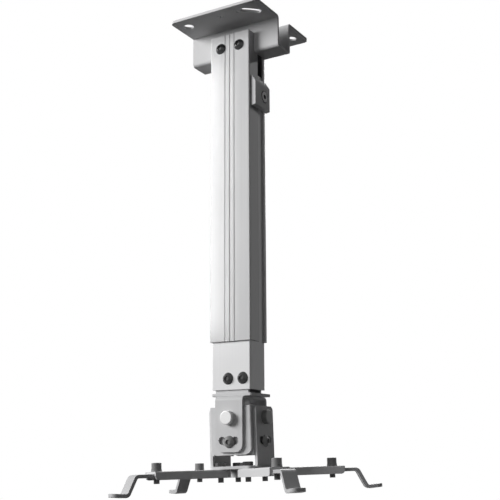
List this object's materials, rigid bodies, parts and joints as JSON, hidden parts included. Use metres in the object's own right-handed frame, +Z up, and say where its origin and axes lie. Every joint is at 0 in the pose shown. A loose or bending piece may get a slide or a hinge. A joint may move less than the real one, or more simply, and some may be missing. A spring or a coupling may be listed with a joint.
{
  "type": "projector ceiling mount",
  "caption": "Height-adjustable ceiling mount for a projector: slotted column, tilting and turning head, and a spider of swinging slotted arms with sliding feet.",
  "frame": {"origin": "middle of the bracket's upper face, where it meets the ceiling, midway between the two large corner holes", "axes": "+Z up into the ceiling, X along the bracket, -Y the front of the column"},
  "size_m": [0.2127, 0.1872, 0.4432],
  "materials": {
    "bracket_steel": "silver grey powder coat, slightly satin",
    "column_aluminium": "silver anodised extrusion with fine lengthwise drawing lines",
    "inner_aluminium": "silver anodised tube, smooth",
    "lock_steel": "satin grey coat",
    "head_steel": "silver grey powder coat",
    "arm_steel": "grey powder coat",
    "claw_steel": "grey powder coat, satin",
    "zinc_steel": "bright zinc plate",
    "dark_steel": "blackened steel"
  },
  "bodies": {
    "mount": {"ceiling_bracket": "bracket_steel", "outer_tube": "column_aluminium", "column_bolts": "dark_steel", "column_spacers": "zinc_steel", "column_nuts": "zinc_steel"},
    "extension": {"inner_tube": "inner_aluminium", "lock_plate": "lock_steel", "lock_screw": "dark_steel", "lock_nut": "dark_steel", "stem_bracket": "head_steel", "stem_bolts": "dark_steel", "stem_nut_plate": "zinc_steel", "swivel_bolt": "zinc_steel", "swivel_washer": "zinc_steel", "swivel_nut": "zinc_steel"},
    "swivel_head": {"upper_yoke": "head_steel"},
    "roll_box": {"tilt_box": "head_steel", "roll_pivot_bolts": "zinc_steel", "roll_pivot_nuts": "zinc_steel", "roll_lock_bolts": "zinc_steel", "roll_lock_nuts": "zinc_steel", "pitch_pivot_bolts": "zinc_steel", "pitch_pivot_nuts": "zinc_steel", "pitch_lock_bolts": "zinc_steel", "pitch_lock_nuts": "zinc_steel"},
    "arm_base": {"lower_yoke": "head_steel", "hub_bolts": "dark_steel", "hub_nuts": "dark_steel"},
    "arm_right": {"arm_right": "arm_steel"},
    "foot_right": {"claw_right": "claw_steel", "claw_bolt_right": "dark_steel", "claw_washer_right": "zinc_steel", "claw_spring_washer_right": "zinc_steel"},
    "arm_left": {"arm_left": "arm_steel"},
    "foot_left": {"claw_left": "claw_steel", "claw_bolt_left": "dark_steel", "claw_washer_left": "zinc_steel", "claw_spring_washer_left": "zinc_steel"},
    "arm_front": {"arm_front": "arm_steel"},
    "foot_front": {"claw_front": "claw_steel", "claw_bolt_front": "dark_steel", "claw_washer_front": "zinc_steel", "claw_spring_washer_front": "zinc_steel"},
    "arm_back": {"arm_back": "arm_steel"},
    "foot_back": {"claw_back": "claw_steel", "claw_bolt_back": "dark_steel", "claw_washer_back": "zinc_steel", "claw_spring_washer_back": "zinc_steel"}
  },
  "joints": [
    {"name": "column_height", "type": "slide", "parent": "mount", "child": "extension", "axis": [0, 0, -1], "range_m": [0, 0.22]},
    {"name": "head_swivel", "type": "hinge", "parent": "extension", "child": "swivel_head", "pos_m": [0, -0.001, -0.35655], "axis": [0, 0, 1], "continuous": true},
    {"name": "side_tilt", "type": "hinge", "parent": "swivel_head", "child": "roll_box", "pos_m": [0, -0.001, -0.37555], "axis": [0, 1, 0], "range_deg": [-13, 17]},
    {"name": "front_tilt", "type": "hinge", "parent": "roll_box", "child": "arm_base", "pos_m": [0, -0.001, -0.37555], "axis": [0.9994, 0, 0.0349], "range_deg": [-15, 15]},
    {"name": "arm_right_swing", "type": "hinge", "parent": "arm_base", "child": "arm_right", "pos_m": [0.01553, 0.0135, -0.41898], "axis": [-0.0349, 0, 0.9994], "range_deg": [-30, 54]},
    {"name": "claw_right_slide", "type": "slide", "parent": "arm_right", "child": "foot_right", "axis": [0.8475, 0.5299, 0.0296], "range_m": [-0.0315, 0.0045]},
    {"name": "arm_left_swing", "type": "hinge", "parent": "arm_base", "child": "arm_left", "pos_m": [-0.01246, -0.0155, -0.41996], "axis": [-0.0349, 0, 0.9994], "range_deg": [-56, 20]},
    {"name": "claw_left_slide", "type": "slide", "parent": "arm_left", "child": "foot_left", "axis": [-0.4065, -0.9135, -0.0142], "range_m": [-0.036, 0]},
    {"name": "arm_front_swing", "type": "hinge", "parent": "arm_base", "child": "arm_front", "pos_m": [0.01553, -0.0155, -0.41898], "axis": [-0.0349, 0, 0.9994], "range_deg": [-48, 36]},
    {"name": "claw_front_slide", "type": "slide", "parent": "arm_front", "child": "foot_front", "axis": [0.7875, -0.6157, 0.0275], "range_m": [-0.036, 0]},
    {"name": "arm_back_swing", "type": "hinge", "parent": "arm_base", "child": "arm_back", "pos_m": [-0.01246, 0.0135, -0.41996], "axis": [-0.0349, 0, 0.9994], "range_deg": [-62, 16]},
    {"name": "claw_back_slide", "type": "slide", "parent": "arm_back", "child": "foot_back", "axis": [-0.9505, 0.309, -0.0332], "range_m": [-0.0275, 0.0085]}
  ]
}
